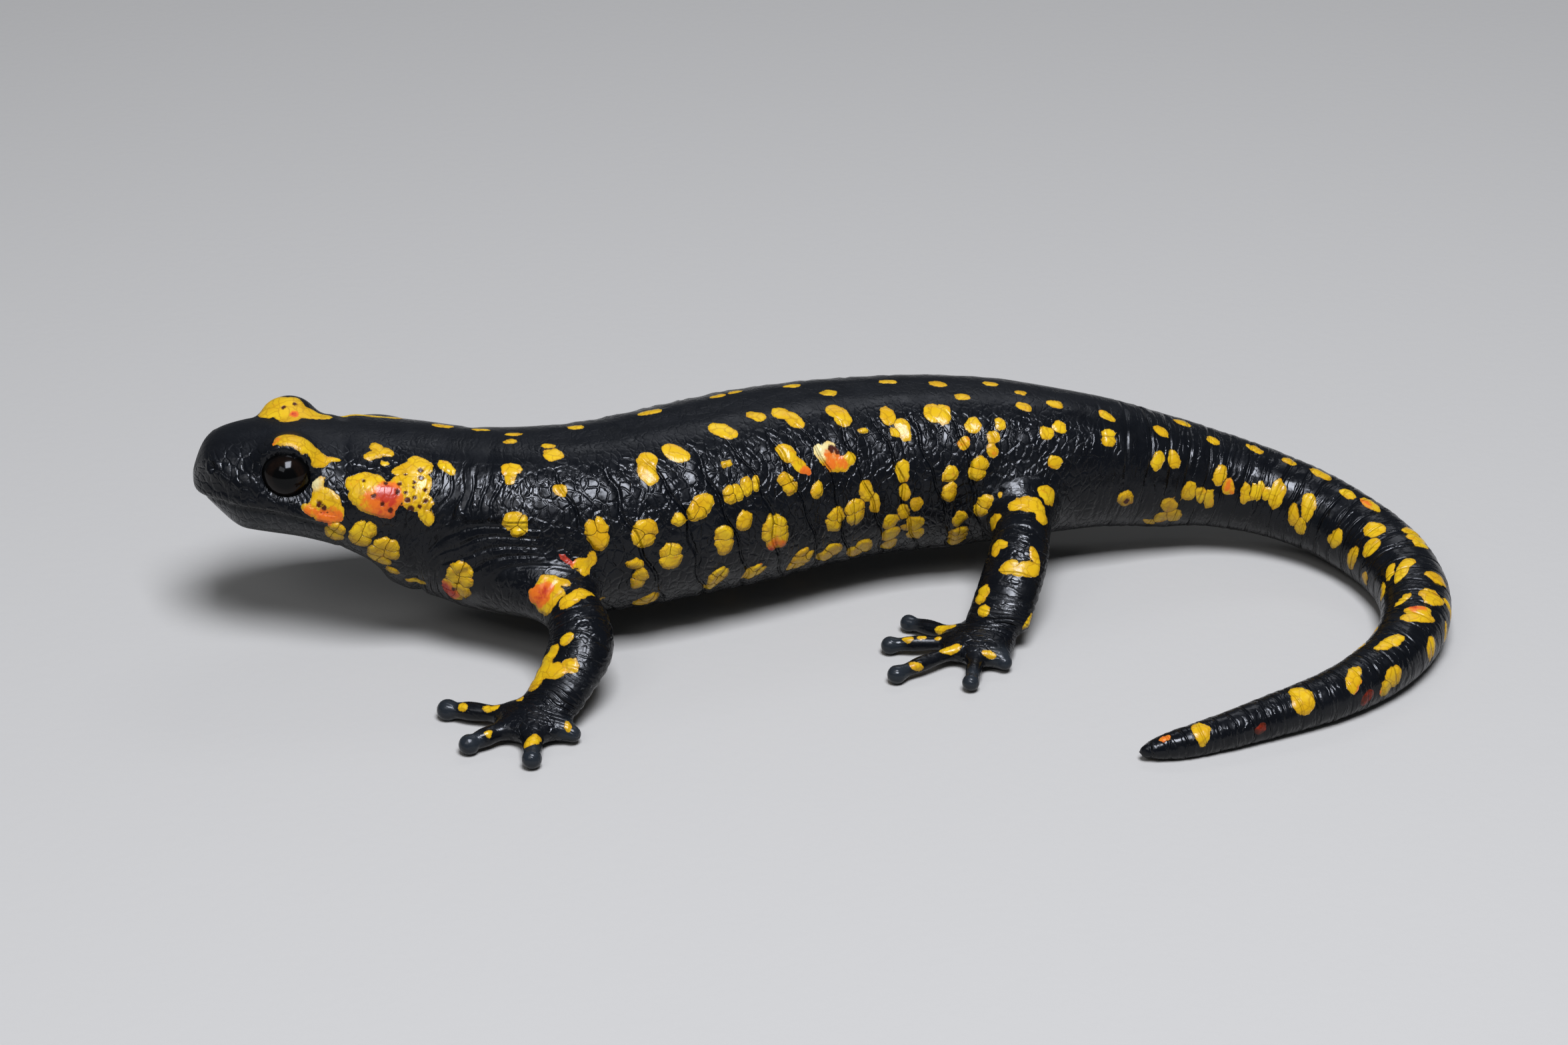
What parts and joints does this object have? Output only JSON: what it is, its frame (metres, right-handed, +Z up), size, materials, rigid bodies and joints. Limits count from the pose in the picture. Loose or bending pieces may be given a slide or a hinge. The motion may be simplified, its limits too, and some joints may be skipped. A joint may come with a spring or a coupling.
{
  "type": "fire salamander, still life-size animal model",
  "caption": "Glossy black salamander with yellow spots, standing with raised head, one arm planted forward and tail curled to the side.",
  "frame": {"origin": "on the floor, under the middle of the animal's bounding box", "axes": "+Z up; +X from the head towards the tail; the animal's left side faces -Y"},
  "size_m": [0.1312, 0.079, 0.0239],
  "materials": {
    "black_skin": "wet glossy black amphibian skin with raised yellow spots",
    "yellow_skin": "wet glossy yellow gland skin, orange below, with dark pores",
    "eye": "wet black eye, mirror smooth"
  },
  "bodies": {
    "root": {"head": "black_skin", "lower_jaw": "black_skin", "neck": "black_skin", "chest": "black_skin", "belly": "black_skin", "pelvis": "black_skin", "tail_root": "black_skin", "tail_length_1": "black_skin", "tail_length_2": "black_skin", "tail_length_3": "black_skin", "tail_length_4": "black_skin", "tail_length_5": "black_skin", "tail_tip": "black_skin", "left_front_upper_arm": "black_skin", "left_front_forearm": "black_skin", "left_front_hand": "black_skin", "left_front_finger_1": "black_skin", "left_front_finger_2": "black_skin", "left_front_finger_3": "black_skin", "left_front_finger_4": "black_skin", "right_front_upper_arm": "black_skin", "right_front_forearm": "black_skin", "right_front_hand": "black_skin", "right_front_finger_1": "black_skin", "right_front_finger_2": "black_skin", "right_front_finger_3": "black_skin", "right_front_finger_4": "black_skin", "left_hind_thigh": "black_skin", "left_hind_shank": "black_skin", "left_hind_foot": "black_skin", "left_hind_toe_1": "black_skin", "left_hind_toe_2": "black_skin", "left_hind_toe_3": "black_skin", "left_hind_toe_4": "black_skin", "left_hind_toe_5": "black_skin", "right_hind_thigh": "black_skin", "right_hind_shank": "black_skin", "right_hind_foot": "black_skin", "right_hind_toe_1": "black_skin", "right_hind_toe_2": "black_skin", "right_hind_toe_3": "black_skin", "right_hind_toe_4": "black_skin", "right_hind_toe_5": "black_skin", "parotoid_left": "yellow_skin", "parotoid_right": "yellow_skin", "eye_left": "eye", "eye_right": "eye"}
  },
  "joints": []
}
